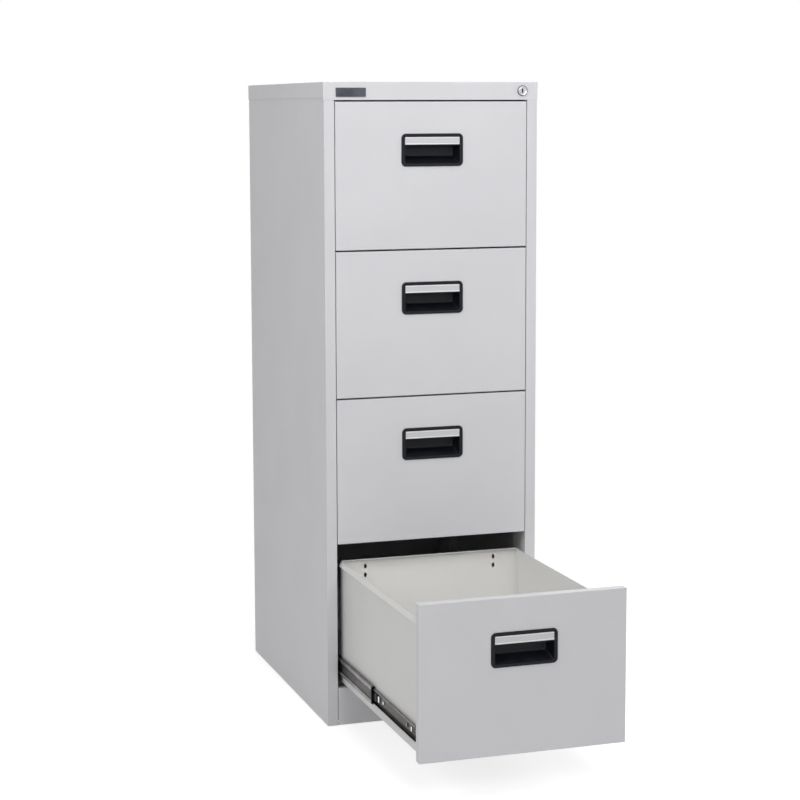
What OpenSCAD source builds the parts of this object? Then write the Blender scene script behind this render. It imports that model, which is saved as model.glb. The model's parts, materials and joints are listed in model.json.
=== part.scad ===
// Upright steel cabinet with four deep drawers on ball-bearing slides, the bottom one drawn out.
// Millimetres, +Z up. Seen from the front, +X is to the right, and the fronts face -Y.
// The origin is on the floor, under the middle of the whole object with its drawer out.

/* [Cabinet] */
// Width of the body over the two side panels
cabinet_w = 460; // [420:1:520]
// Depth of the body from the front plane to the back panel's outer face
cabinet_d = 620; // [600:1:700]
// Height that each drawer takes up, gap to gap
drawer_pitch = 303; // [290:1:330]
// Thickness of the body's sheet steel
sheet_t = 0.8; // [0.7:0.1:1.2]
// Clearance between pieces that are seated against each other
seat_gap = 0.2; // [0.1:0.05:0.3]
// Height of the body's lower edge above the floor
floor_gap = 1.6; // [1:0.1:3]

/* [Side panels] */
// Width of the front flange of a side panel
flange_w = 22; // [20:0.5:28]
// Depth of the lip behind the front flange
flange_lip = 18; // [12:1:22]
// Width of the rear flange of a side panel
rear_flange_w = 16; // [10:1:24]

/* [Top cap] */
// Thickness of the cap's sheet steel
cap_t = 1; // [0.8:0.1:1.5]
// Height of the cap's front, above the top gap
fascia_h = 38; // [34:1:50]
// Height of the skirt over the sides and the back
skirt_h = 32; // [24:1:34]
// Depth of the lip under the cap's front
fascia_lip = 12; // [6:1:16]

/* [Plinth and base] */
// Height of the lowest gap, over the kick plate
plinth_h = 80; // [70:1:100]
// Gap between the kick plate and the bottom front
kick_gap = 1.4; // [1:0.1:2.4]
// Gap at each end of the kick plate
kick_end_gap = 0.6; // [0.3:0.1:0.9]
// Height of the base pan's top face
base_h = 34; // [28:1:44]
// Height of the base pan's flanges
base_flange_h = 22; // [14:1:24]

/* [Levelling feet] */
// Diameter of a foot's pad
foot_d = 30; // [20:1:40]
// Thickness of a foot's pad
foot_pad_h = 6; // [4:0.5:8]
// Diameter of a foot's stud
stud_d = 8; // [6:1:10]
// Length of the stud above the base pan
stud_rise = 12; // [6:1:20]
// Height of the weld nut under the base pan
weld_nut_h = 6.5; // [5:0.5:8]
// Distance of a foot from the base pan's edges
foot_inset = 36; // [28:1:50]

/* [Uprights] */
// Width of an upright, front to back
upright_w = 54; // [44:1:60]
// Thickness of an upright's sheet
upright_t = 1; // [0.8:0.1:1.5]
// Distance of the uprights' tops below the top gap
upright_drop = 22; // [10:1:40]

/* [Drawer fronts] */
// Gap between neighbouring fronts
front_gap = 3.4; // [2:0.1:5]
// Gap between a front and the side flanges
front_side_gap = 1.5; // [1:0.1:3]
// Depth of a folded front
front_depth = 18; // [16:0.5:22]
// Depth of the liner's edge flanges
liner_edge = 9; // [5:0.5:12]

/* [Drawer trays] */
// Space for a slide between a tray and the uprights
slide_space = 12.7; // [12.5:0.1:13.5]
// Thickness of a tray's sheet steel
tray_t = 0.8; // [0.6:0.1:1.2]
// How far a tray's back lies behind the slides' rear ends
tray_tail = 6.2; // [2:0.2:20]
// Height of a tray's sides
tray_side_h = 255.5; // [220:0.5:262]
// How far a tray's back stands above its sides
back_over = 2; // [0:0.5:4]
// Height of a tray's bottom above the gap under its front
tray_rise = 9; // [7:0.5:14]
// How far the folded rims lean out from a tray's sides
rim_w = 5; // [3:0.5:6]
// Depth of the folded rims' lower edges below the top
rim_h = 9; // [6:0.5:12]
// How far the rims end short of the tray's back
rim_setback = 3; // [1:0.5:8]
// Size of the slanted corner at the rims' front end
rim_corner = 8; // [4:0.5:12]
// Width of the tabs that fasten a tray to its front
front_tab_w = 16; // [13:0.5:22]
// Height of a tray's lower front screws above its bottom
front_screw_low = 45; // [30:1:90]
// Height of a tray's upper front screws above its bottom
front_screw_high = 195; // [150:1:210]
// Depth of the flanges around the back wall
back_flange = 10; // [6:0.5:14]
// Width of a slot in the back wall
slot_w = 6; // [3:0.5:8]
// Height of a slot in the back wall
slot_h = 9.5; // [8.5:0.5:12]
// Distance of the slots from the middle of the back wall
slot_x = 142; // [110:1:150]
// Depth of the upper slots below the back wall's top edge
slot_drop = 15.5; // [10:0.5:20]
// Distance between an upper and a lower slot
slot_pitch = 18.5; // [14:0.5:24]
// How far the bottom drawer stands open
drawer_open = 520; // [0:5:520]

/* [Slides] */
// Length of a slide's cabinet member
slide_len = 500; // [480:5:520]
// Distance of a slide behind the front plane
slide_setback = 32; // [28:1:40]
// Height of a slide's middle above the gap under its drawer
slide_rise = 47; // [38:1:60]
// Height of a cabinet member
outer_h = 45.5; // [44:0.1:46]
// Height of a middle member
mid_h = 36.4; // [35:0.1:37]
// Height of a drawer member
inner_h = 29; // [27:0.1:29.5]
// Thickness of the slides' steel
slide_t = 1.2; // [1:0.1:1.4]
// Running clearance between two members
slide_run = 0.4; // [0.3:0.05:0.6]
// Length by which a middle member stops short of its cabinet member
mid_setback = 10; // [6:1:20]
// Length by which a drawer member is shorter than its cabinet member
inner_short = 13; // [8:1:24]
// Distance of a drawer member's front end behind the front plane
inner_setback = 38; // [32:1:44]
// Distance of a cabinet member's screws from its ends
screw_inset = 24; // [16:1:30]
// Distance of a drawer member's screws from its ends
inner_screw_inset = 60; // [50:1:80]
// Clearance between the cabinet members' screw heads and the middle members
head_clear = 0.6; // [0.4:0.1:0.8]
// How far a cabinet member reaches around its middle member
outer_reach = 6.1; // [5:0.1:6.6]
// Gap between the webs of the middle and drawer members
mid_web_gap = 1; // [0.8:0.1:1.4]
// Gap between a drawer member's edges and the middle member's web
inner_edge_gap = 0.7; // [0.5:0.1:1]
// Distance of a drawer member's front slot from its front end
slot_front = 15; // [10:1:25]
// Distance of a drawer member's second slot from its front end
slot_second = 228; // [215:1:240]
// Length of the slots, along the slide
slot_len = 5; // [3:0.5:8]
// Height of the front slot
slot_front_h = 8; // [5:0.5:12]
// Height of the second slot
slot_second_h = 14; // [8:0.5:18]
// Distance of a drawer member's round hole from its front end
index_hole_y = 200; // [190:1:205]
// Diameter of that hole
index_hole_d = 4.5; // [3:0.1:6]

/* [Screws] */
// Diameter of a screw's shank
screw_d = 4; // [3:0.1:5]
// Diameter of a screw's head
screw_head_d = 8; // [7:0.1:9]
// Height of a screw's head
screw_head_h = 1.6; // [1.2:0.1:1.8]
// Clearance around a screw's shank
screw_clear = 0.2; // [0.1:0.05:0.4]
// How far a screw's shank stands out behind the last sheet
screw_past = 3; // [1:0.5:4]

/* [Handles] */
// Width of a handle's bezel
handle_w = 133; // [110:0.5:160]
// Height of a handle's bezel
handle_h = 66.7; // [58:0.1:80]
// Corner radius of a handle's bezel
handle_r = 9.5; // [5:0.5:14]
// How far a bezel stands proud of its front
bezel_t = 2; // [1.5:0.1:3]
// Distance from a front's top edge down to the middle of its handle
handle_drop = 98; // [60:1:150]
// Width of the bezel's frame beside the window and the label
bezel_side = 7.5; // [6:0.1:10]
// Width of the bezel's frame under the window
bezel_foot = 5.8; // [5:0.1:8]
// Width of the bezel's frame over the label
bezel_head = 5.6; // [5:0.1:8]
// Height of the label
label_h = 16.6; // [10:0.1:20]
// Thickness of the label
label_t = 0.6; // [0.4:0.1:1]
// Height of the grip edge under the label
grip_h = 2.2; // [1.5:0.1:4]
// Depth of the handle's cup behind the front plane
cup_depth = 26; // [20:0.5:32]
// Wall of the handle's cup
cup_t = 1.6; // [1.2:0.1:2.5]
// How far the cup's back wall is narrowed on each side
cup_taper = 7; // [3:0.5:12]
// How far the cup's floor climbs towards its back
cup_climb = 15; // [6:0.5:20]
// Corner radius of the window
window_r = 3; // [1:0.5:5]
// Thickness of the bezel's plate around the cup
grip_t = 2; // [1.5:0.1:3]
// Depth of the label's face under the bezel's face
label_sunk = 0.25; // [0.1:0.05:0.6]

/* [Nameplate] */
// Length of the nameplate
plate_w = 63.5; // [40:0.5:90]
// Height of the nameplate
plate_h = 18.8; // [12:0.1:24]
// Thickness of the nameplate
plate_t = 1; // [0.6:0.1:1.5]
// Distance of the nameplate from the body's left side
plate_inset = 25; // [20:0.5:60]
// Height of the nameplate's middle above the top gap
plate_rise = 17; // [14:0.5:20]
// Corner radius of the nameplate
plate_r = 1; // [0.5:0.1:3]

/* [Lock] */
// Distance of the lock from the body's right side
lock_inset = 33; // [31:0.5:38]
// Height of the lock's axis above the top gap
lock_rise = 20.5; // [18:0.5:22]
// Diameter of the lock's bezel
lock_bezel_d = 22; // [21:0.5:26]
// How far the lock's bezel stands proud of the front plane
lock_proud = 2; // [1:0.1:3]
// Depth of the plug's face under the bezel's face
plug_sunk = 0.4; // [0.1:0.1:0.8]
// Diameter of the lock's barrel
barrel_d = 18.6; // [17:0.1:19.5]
// Length of the barrel behind the front plane
barrel_len = 22; // [18:0.5:26]
// Diameter of the turning plug
plug_d = 12; // [10:0.1:13]
// Radial clearance around the plug
plug_clear = 0.05; // [0.03:0.01:0.1]
// Width of the keyway
keyway_w = 2; // [1.5:0.1:3]
// Height of the keyway
keyway_h = 7.5; // [5:0.1:8]
// Depth of the keyway
keyway_deep = 16; // [10:0.5:17]
// Distance from the lock's axis to the cam's pin
cam_r = 8; // [6:0.1:8.5]
// Diameter of the cam's pin
cam_pin_d = 4; // [3:0.1:5]
// Thickness of the cam
cam_t = 2; // [1.5:0.1:3]
// Gap between the barrel and the cam
cam_gap = 0.6; // [0.3:0.1:1]
// Thickness of the nut on the barrel
lock_nut_h = 3; // [2:0.5:4]

/* [Lock bar] */
// Thickness of the lock bar
bar_t = 2; // [1.5:0.1:3]
// Width of the lock bar
bar_w = 11; // [8:0.5:13]
// Height of a finger on the lock bar
finger_h = 10; // [8:0.5:14]
// Height of the drawers' catches above the gap under their front
catch_rise = 190; // [150:1:210]
// Height of a catch
catch_h = 12; // [10:0.5:16]
// How far a catch stands out from its tray
catch_w = 9; // [7:0.5:10]
// Thickness of a catch
catch_t = 1.5; // [1:0.1:2]
// Gap between the cam and the lock bar
bar_gap = 2.4; // [1:0.1:4]
// Width of the material around the slot for the cam's pin
head_wall = 5; // [3:0.5:6]
// Clearance around the pin in its slot
pin_clear = 0.5; // [0.3:0.1:0.8]
// Gap between a finger and a catch, in height when open and in depth when locked
catch_gap = 1.5; // [1:0.1:3]
// Height of a guide of the lock bar
guide_h = 16; // [10:0.5:24]
// Thickness of the guides' sheet
guide_t = 1.4; // [1:0.1:2]
// Height of the guides above the gap under each front
guide_rise = 195; // [192:1:220]

/* [Hidden] */
drawer_count = 4;
round_fn = 48;
// How far a cut runs past the face that it opens
past = 1;
opening_x = cabinet_w / 2 - flange_w;
inner_x = cabinet_w / 2 - sheet_t - seat_gap;
front_y = (drawer_open + bezel_t - cabinet_d - seat_gap - cap_t) / 2;
back_y = front_y + cabinet_d;
top_gap_z = plinth_h + drawer_count * drawer_pitch;
cabinet_h = top_gap_z + fascia_h;
fascia_z = top_gap_z + front_gap / 2;
panel_top_z = cabinet_h - cap_t - seat_gap;
rear_flange_y = back_y - sheet_t - seat_gap;
base_front_y = front_y + flange_lip + seat_gap;
base_back_y = rear_flange_y - sheet_t - seat_gap;
foot_x = inner_x - foot_inset;
weld_nut_d = 1.85 * stud_d;

upright_top_z = top_gap_z - upright_drop;
front_upright_y = base_front_y;
slide_y = front_y + slide_setback;
front_screw_y = slide_y + screw_inset;
rear_screw_y = slide_y + slide_len - screw_inset;
rear_upright_y = rear_screw_y - upright_w / 2;

front_x = opening_x - front_side_gap;
front_low_z = front_gap / 2;
front_high_z = drawer_pitch - front_gap / 2;
liner_x = front_x - sheet_t - seat_gap;
liner_y = front_y + front_depth;
tray_x = opening_x - slide_space;
tray_y = liner_y + seat_gap;
tray_back_y = slide_y + slide_len + tray_tail;
tray_top_z = tray_rise + tray_side_h;
back_top_z = tray_top_z + back_over;
rim_x = tray_x + rim_w;
back_x = tray_x - tray_t - seat_gap;
front_screw_z = [tray_rise + front_screw_low, tray_rise + front_screw_high];

slide_seat = seat_gap / 2;
mid_u = slide_seat + slide_t + screw_head_h + head_clear;
mid_len = slide_len - mid_setback;
inner_len = slide_len - inner_short;
inner_y = front_y + inner_setback;
outer_deep = mid_u + outer_reach;
mid_deep = slide_space - mid_u - mid_web_gap;
inner_deep = slide_space - slide_seat - mid_u - slide_t - inner_edge_gap;
inner_screw_y = [inner_screw_inset, inner_len - inner_screw_inset];

handle_z = front_high_z - handle_drop;
window_w = handle_w - 2 * bezel_side;
window_low_z = -handle_h / 2 + bezel_foot;
label_low_z = handle_h / 2 - bezel_head - label_h;
window_high_z = label_low_z - grip_h;
cup_x = window_w / 2 + cup_t;
cup_low_z = window_low_z - cup_t;
cup_high_z = handle_h / 2 - bezel_head;
cutout_gap = 0.5;
label_y = front_y - bezel_t + label_sunk;

lock_x = cabinet_w / 2 - lock_inset;
lock_z = top_gap_z + lock_rise;
stub_d = plug_d * 0.6;
cam_y = front_y + barrel_len + cam_gap;
bar_y = cam_y + cam_t + bar_gap;
pin_drop = cam_r * sin(45);
bar_travel = 2 * pin_drop;
bar_x = inner_x - guide_t - seat_gap - bar_w;
catch_y = bar_y + bar_t + catch_gap;
finger_top_z = catch_rise - catch_gap;
finger_reach = catch_w * 0.6;
finger_x = tray_x + catch_w - finger_reach;

ENAMEL = [0.80, 0.80, 0.81];
INSIDE = [0.78, 0.78, 0.76];
STEEL = [0.55, 0.55, 0.57];
BLACK = [0.09, 0.09, 0.10];
CARD = [0.90, 0.90, 0.91];
CHROME = [0.75, 0.76, 0.78];

// Helpers

// Height of the gap under a drawer's front; drawer 1 is the top one
function gap_z(k) = plinth_h + (drawer_count - k) * drawer_pitch;

// How far a drawer stands open
function open_y(k) = k == drawer_count ? drawer_open : 0;

// A box between two corners
module block(low, high) {
    translate(low)
        cube(high - low);
}

// A piece on the right, and its mirror image on the left
module both_sides() {
    children();
    mirror([1, 0, 0])
        children();
}

// A cylinder along Y, from y0 to y1
module rod_y(d, y0, y1, fn = round_fn) {
    translate([0, y1, 0])
        rotate([90, 0, 0])
            cylinder(h = y1 - y0, d = d, $fn = fn);
}

// A cylinder along X, from x0 to x1
module rod_x(d, x0, x1) {
    translate([x0, 0, 0])
        rotate([0, 90, 0])
            cylinder(h = x1 - x0, d = d, $fn = round_fn);
}

// A rectangle with round corners, centred
module round_rect(w, h, r) {
    square([w - 2 * r, h], center = true);
    square([w, h - 2 * r], center = true);
    for (sx = [-1, 1], sz = [-1, 1])
        translate([sx * (w / 2 - r), sz * (h / 2 - r)])
            circle(r = r, $fn = round_fn);
}

// An outline drawn in X and Z, made solid from y0 to y1
module slab_y(y0, y1) {
    translate([0, y1, 0])
        rotate([90, 0, 0])
            linear_extrude(y1 - y0)
                children();
}

// An outline drawn in Y and Z, made solid from x0 to x1
module slab_x(x0, x1) {
    translate([x0, 0, 0])
        rotate([90, 0, 90])
            linear_extrude(x1 - x0)
                children();
}

// A place in a drawer: heights count from the gap under its front
module at_drawer(k) {
    translate([0, -open_y(k), gap_z(k)])
        children();
}

// Body

module side_panel() {
    web_x = cabinet_w / 2 - sheet_t;
    color(ENAMEL)
        union() {
            block([web_x, front_y, floor_gap], [web_x + sheet_t, rear_flange_y, fascia_z - seat_gap]);
            block([web_x, front_y + cap_t + seat_gap, floor_gap],
                [web_x + sheet_t, rear_flange_y, panel_top_z]);
            block([opening_x, front_y, floor_gap],
                [web_x + sheet_t, front_y + sheet_t, fascia_z - seat_gap]);
            block([opening_x, front_y, floor_gap],
                [opening_x + sheet_t, front_y + flange_lip, fascia_z - seat_gap]);
            block([cabinet_w / 2 - rear_flange_w, rear_flange_y - sheet_t, floor_gap],
                [web_x + sheet_t, rear_flange_y, panel_top_z]);
        }
}

module back_panel() {
    color(ENAMEL)
        block([-cabinet_w / 2, back_y - sheet_t, floor_gap], [cabinet_w / 2, back_y, panel_top_z]);
}

module top_cap() {
    cap_x = cabinet_w / 2 + seat_gap + cap_t;
    cap_back_y = back_y + seat_gap + cap_t;
    color(ENAMEL)
        difference() {
            union() {
                block([-cap_x, front_y, cabinet_h - cap_t], [cap_x, cap_back_y, cabinet_h]);
                block([-cap_x, front_y, fascia_z], [cap_x, front_y + cap_t, cabinet_h]);
                block([-inner_x, front_y, fascia_z], [inner_x, front_y + fascia_lip, fascia_z + cap_t]);
                both_sides()
                    block([cap_x - cap_t, front_y, cabinet_h - skirt_h], [cap_x, cap_back_y, cabinet_h]);
                block([-cap_x, cap_back_y - cap_t, cabinet_h - skirt_h], [cap_x, cap_back_y, cabinet_h]);
            }
            translate([lock_x, 0, lock_z])
                rod_y(barrel_d + 2 * seat_gap, front_y - past, front_y + cap_t + past);
        }
}

module kick_plate() {
    kick_x = opening_x - kick_end_gap;
    kick_top = plinth_h + front_gap / 2 - kick_gap;
    color(ENAMEL)
        union() {
            block([-kick_x, front_y, floor_gap], [kick_x, front_y + sheet_t, kick_top]);
            block([-kick_x, front_y, kick_top - sheet_t], [kick_x, front_y + flange_lip, kick_top]);
            block([-kick_x, front_y, floor_gap], [kick_x, front_y + flange_lip, floor_gap + sheet_t]);
        }
}

module base_pan() {
    base_low_z = base_h - base_flange_h;
    color(INSIDE)
        difference() {
            union() {
                difference() {
                    block([-inner_x, base_front_y, base_low_z], [inner_x, base_back_y, base_h]);
                    block([-inner_x + sheet_t, base_front_y + sheet_t, base_low_z - past],
                        [inner_x - sheet_t, base_back_y - sheet_t, base_h - sheet_t]);
                }
                foot_places()
                    translate([0, 0, base_h - sheet_t - weld_nut_h])
                        cylinder(h = weld_nut_h + sheet_t / 2, d = weld_nut_d, $fn = 6);
            }
            foot_places()
                translate([0, 0, base_low_z])
                    cylinder(h = base_flange_h + past, d = stud_d + 2 * screw_clear, $fn = round_fn);
        }
}

module foot_places() {
    for (sx = [-1, 1], y = [base_front_y + foot_inset, base_back_y - foot_inset])
        translate([sx * foot_x, y, 0])
            children();
}

module levelling_feet() {
    color(BLACK)
        foot_places()
            union() {
                cylinder(h = foot_pad_h, d = foot_d, $fn = round_fn);
                cylinder(h = base_h + stud_rise, d = stud_d, $fn = round_fn);
            }
}

module upright(y0) {
    color(INSIDE)
        difference() {
            union() {
                block([opening_x, y0, base_h + seat_gap],
                    [opening_x + upright_t, y0 + upright_w, upright_top_z]);
                for (y = [y0, y0 + upright_w - upright_t])
                    block([opening_x, y, base_h + seat_gap], [inner_x, y + upright_t, upright_top_z]);
            }
            for (k = [1:drawer_count], y = [front_screw_y, rear_screw_y])
                translate([0, y, gap_z(k) + slide_rise])
                    rod_x(screw_d + 2 * screw_clear, opening_x - past, opening_x + upright_t + past);
        }
}

// The front upright on the right has a slot for each finger of the lock bar
module right_front_upright() {
    finger_clear = 1;
    color(INSIDE)
        difference() {
            upright(front_upright_y);
            for (k = [1:drawer_count])
                translate([0, 0, gap_z(k) + finger_top_z])
                    block([opening_x - past, bar_y - finger_clear, -finger_h - finger_clear],
                        [opening_x + upright_t + past, bar_y + bar_t + finger_clear,
                            bar_travel + finger_clear]);
        }
}

// Slides: a profile's first axis runs from the uprights towards the tray

module channel(u, deep, h, lip) {
    translate([u, -h / 2])
        difference() {
            square([deep, h]);
            translate([slide_t, slide_t])
                square([deep, h - 2 * slide_t]);
        }
    for (s = [-1, 1])
        translate([u + deep - slide_t, s > 0 ? h / 2 - slide_t - lip : -h / 2])
            square([slide_t, slide_t + lip]);
}

module slide_bar(k, y, len) {
    translate([opening_x, y + len, gap_z(k) + slide_rise])
        mirror([1, 0, 0])
            rotate([90, 0, 0])
                linear_extrude(len)
                    children();
}

// Holes across a slide member, at distances from its front end
module slide_holes(k, y, places, d) {
    for (place = places)
        translate([opening_x, y + place, gap_z(k) + slide_rise])
            rod_x(d, -slide_space, 0);
}

// An upright slot across a slide member, its front edge at y
module slide_slot(k, y, h) {
    translate([opening_x, y, gap_z(k) + slide_rise])
        block([-slide_space, 0, -h / 2], [0, slot_len, h / 2]);
}

module outer_slides(k) {
    color(STEEL)
        both_sides()
            difference() {
                slide_bar(k, slide_y, slide_len)
                    channel(slide_seat, outer_deep, outer_h, (outer_h - mid_h) / 2 - slide_t - slide_run);
                slide_holes(k, slide_y, [screw_inset, slide_len - screw_inset], screw_d + 2 * screw_clear);
            }
}

module middle_slides(k) {
    y = slide_y + mid_setback - open_y(k) / 2;
    color(STEEL)
        both_sides()
            slide_bar(k, y, mid_len)
                channel(mid_u, mid_deep, mid_h, (mid_h - inner_h) / 2 - slide_t - slide_run);
}

module inner_slides(k) {
    y = inner_y - open_y(k);
    color(STEEL)
        both_sides()
            difference() {
                slide_bar(k, y, inner_len)
                    translate([slide_space, 0])
                        mirror([1, 0])
                            channel(slide_seat, inner_deep, inner_h, 0);
                slide_holes(k, y, inner_screw_y, screw_d + 2 * screw_clear);
                slide_holes(k, y, [index_hole_y], index_hole_d);
                slide_slot(k, y + slot_front, slot_front_h);
                slide_slot(k, y + slot_second, slot_second_h);
            }
}

// A pan-head screw along -X, its head's back at x = 0
module screw_out(shank) {
    rod_x(screw_head_d, -screw_head_h, 0);
    rod_x(screw_d, -screw_head_h / 2, shank);
}

module slide_screws() {
    head_x = opening_x - slide_seat - slide_t - seat_gap / 2;
    color(CHROME)
        both_sides()
            for (k = [1:drawer_count], y = [front_screw_y, rear_screw_y])
                translate([head_x, y, gap_z(k) + slide_rise])
                    screw_out(opening_x + upright_t + screw_past - head_x);
}

// Drawers

module drawer_front(k) {
    color(ENAMEL)
        at_drawer(k)
            difference() {
                block([-front_x, front_y, front_low_z], [front_x, liner_y, front_high_z]);
                block([-front_x + sheet_t, front_y + sheet_t, front_low_z + sheet_t],
                    [front_x - sheet_t, liner_y + past, front_high_z - sheet_t]);
                handle_cutout();
            }
}

module drawer_liner(k) {
    low_z = front_low_z + sheet_t + seat_gap;
    high_z = front_high_z - sheet_t - seat_gap;
    color(INSIDE)
        at_drawer(k)
            difference() {
                block([-liner_x, liner_y - liner_edge, low_z], [liner_x, liner_y, high_z]);
                block([-liner_x + sheet_t, liner_y - liner_edge - past, low_z + sheet_t],
                    [liner_x - sheet_t, liner_y - sheet_t, high_z - sheet_t]);
                handle_cutout();
                tray_front_screws()
                    rod_y(screw_d + 2 * screw_clear, liner_y - sheet_t - past, liner_y + past);
            }
}

module handle_cutout() {
    block([-cup_x - cutout_gap, front_y - past, handle_z + cup_low_z - cutout_gap],
        [cup_x + cutout_gap, liner_y + past, handle_z + cup_high_z + cutout_gap]);
}

// The screws that hold a tray's front tabs to the liner
module tray_front_screws() {
    both_sides()
        for (z = front_screw_z)
            translate([tray_x - (tray_t + front_tab_w) / 2, 0, z])
                children();
}

module drawer_tray(k) {
    color(INSIDE)
        at_drawer(k) {
            difference() {
                union() {
                    block([-tray_x, tray_y, tray_rise], [tray_x, tray_back_y, tray_rise + tray_t]);
                    both_sides() {
                        block([tray_x - tray_t, tray_y, tray_rise], [tray_x, tray_back_y, tray_top_z]);
                        slab_y(tray_y, tray_back_y - rim_setback)
                            rim_profile();
                        block([tray_x - front_tab_w, tray_y, tray_rise],
                            [tray_x, tray_y + tray_t, tray_top_z - rim_corner]);
                    }
                }
                rim_end_cut();
                tray_front_screws()
                    rod_y(screw_d + 2 * screw_clear, tray_y - past, tray_y + tray_t + past);
                both_sides()
                    for (place = inner_screw_y)
                        translate([0, inner_y + place, slide_rise])
                            rod_x(screw_d + 2 * screw_clear, tray_x - tray_t - past, tray_x + past);
            }
            lock_catch();
        }
}

// A rim folded outwards and down, on the right, across X and Z
module rim_profile() {
    skin = tray_t * norm([rim_w, rim_h]) / rim_h;
    mid_x = tray_x - tray_t / 2;
    polygon([
        [mid_x, tray_top_z], [tray_x, tray_top_z],
        [rim_x, tray_top_z - rim_h], [rim_x - skin, tray_top_z - rim_h],
        [mid_x, tray_top_z - (skin - tray_t / 2) * rim_h / rim_w]
    ]);
}

// Cuts the top corner at the sides' front end on a slant
module rim_end_cut() {
    slab_x(-rim_x - past, rim_x + past)
        polygon([
            [tray_y - past, tray_top_z - rim_corner - past],
            [tray_y + rim_corner + past, tray_top_z + past],
            [tray_y - past, tray_top_z + past]
        ]);
}

// The bracket on a tray's side that a finger of the lock bar stands in front of
module lock_catch() {
    catch_x = tray_x + seat_gap;
    translate([0, catch_y, catch_rise])
        union() {
            block([catch_x, 0, 0], [tray_x + catch_w, catch_t, catch_h]);
            block([catch_x, 0, 0], [catch_x + catch_t, 2 * catch_h, catch_h]);
        }
}

module drawer_back(k) {
    low_z = tray_rise + tray_t + seat_gap;
    color(INSIDE)
        at_drawer(k)
            difference() {
                union() {
                    block([-back_x, tray_back_y - tray_t, low_z], [back_x, tray_back_y, back_top_z]);
                    block([-back_x, tray_back_y - back_flange, back_top_z - tray_t],
                        [back_x, tray_back_y, back_top_z]);
                    both_sides()
                        block([back_x - tray_t, tray_back_y - back_flange, low_z],
                            [back_x, tray_back_y, back_top_z]);
                    block([-back_x, tray_back_y - back_flange, low_z],
                        [back_x, tray_back_y, low_z + tray_t]);
                }
                both_sides()
                    for (drop = [slot_drop, slot_drop + slot_pitch])
                        translate([slot_x, 0, back_top_z - drop])
                            back_slot();
            }
}

// An upright slot with round ends, through a tray's back
module back_slot() {
    end_z = (slot_h - slot_w) / 2;
    near_y = tray_back_y - 2 * tray_t;
    far_y = tray_back_y + past;
    block([-slot_w / 2, near_y, -end_z], [slot_w / 2, far_y, end_z]);
    for (z = [-end_z, end_z])
        translate([0, 0, z])
            rod_y(slot_w, near_y, far_y);
}

module drawer_screws(k) {
    head_x = tray_x + slide_seat + slide_t + seat_gap / 2;
    front_head_y = tray_y + tray_t + seat_gap / 2;
    color(CHROME)
        at_drawer(k) {
            tray_front_screws()
                union() {
                    rod_y(screw_head_d, front_head_y, front_head_y + screw_head_h);
                    rod_y(screw_d, liner_y - sheet_t - screw_past, front_head_y + screw_head_h / 2);
                }
            both_sides()
                for (place = inner_screw_y)
                    translate([head_x, inner_y + place, slide_rise])
                        mirror([1, 0, 0])
                            screw_out(head_x - tray_x + tray_t + screw_past);
        }
}

// Handles: a bezel over the front, with a cup behind it; heights count from the handle's middle

module cup_side(wall) {
    polygon([
        [front_y - past, cup_low_z + wall], [front_y, cup_low_z + wall],
        [front_y + cup_depth - wall, cup_low_z + cup_climb + wall],
        [front_y + cup_depth - wall, cup_high_z - wall], [front_y - past, cup_high_z - wall]
    ]);
}

module cup_plan(wall) {
    polygon([
        [-cup_x + wall, front_y - past], [cup_x - wall, front_y - past], [cup_x - wall, front_y],
        [cup_x - wall - cup_taper, front_y + cup_depth - wall],
        [-cup_x + wall + cup_taper, front_y + cup_depth - wall], [-cup_x + wall, front_y]
    ]);
}

module cup(wall) {
    intersection() {
        slab_x(-handle_w, handle_w)
            cup_side(wall);
        translate([0, 0, -handle_h])
            linear_extrude(2 * handle_h)
                cup_plan(wall);
    }
}

module drawer_handle(k) {
    back_y0 = front_y - seat_gap / 2;
    color(BLACK)
        at_drawer(k)
            translate([0, 0, handle_z])
                difference() {
                    union() {
                        slab_y(front_y - bezel_t, back_y0)
                            round_rect(handle_w, handle_h, handle_r);
                        intersection() {
                            cup(0);
                            block([-handle_w, back_y0 - bezel_t / 2, -handle_h],
                                [handle_w, front_y + cup_depth, handle_h]);
                        }
                    }
                    intersection() {
                        cup(cup_t);
                        block([-handle_w, back_y0 + grip_t, -handle_h],
                            [handle_w, front_y + cup_depth, handle_h]);
                    }
                    translate([0, 0, (window_low_z + window_high_z) / 2])
                        slab_y(front_y - bezel_t - past, front_y + grip_t + past)
                            round_rect(window_w, window_high_z - window_low_z, window_r);
                    translate([0, 0, label_low_z + label_h / 2])
                        slab_y(front_y - bezel_t - past, label_y + label_t + seat_gap / 4)
                            square([window_w, label_h], center = true);
                }
}

module drawer_label(k) {
    color(CARD)
        at_drawer(k)
            block([-window_w / 2 + seat_gap, label_y, handle_z + label_low_z + seat_gap],
                [window_w / 2 - seat_gap, label_y + label_t, handle_z + label_low_z + label_h - seat_gap]);
}

// Cap fittings

module nameplate() {
    plate_y = front_y - seat_gap / 2;
    color(STEEL)
        translate([-cabinet_w / 2 + plate_inset + plate_w / 2, 0, top_gap_z + plate_rise])
            slab_y(plate_y - plate_t, plate_y)
                round_rect(plate_w, plate_h, plate_r);
}

// Lock: heights and widths count from its axis

module at_lock() {
    translate([lock_x, 0, lock_z])
        children();
}

module lock_housing() {
    color(CHROME)
        at_lock()
            difference() {
                union() {
                    rod_y(lock_bezel_d, front_y - lock_proud, front_y - seat_gap / 2);
                    rod_y(barrel_d, front_y - lock_proud / 2, front_y + barrel_len);
                }
                rod_y(plug_d + 2 * plug_clear, front_y - lock_proud - past, front_y + barrel_len + past);
            }
}

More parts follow.
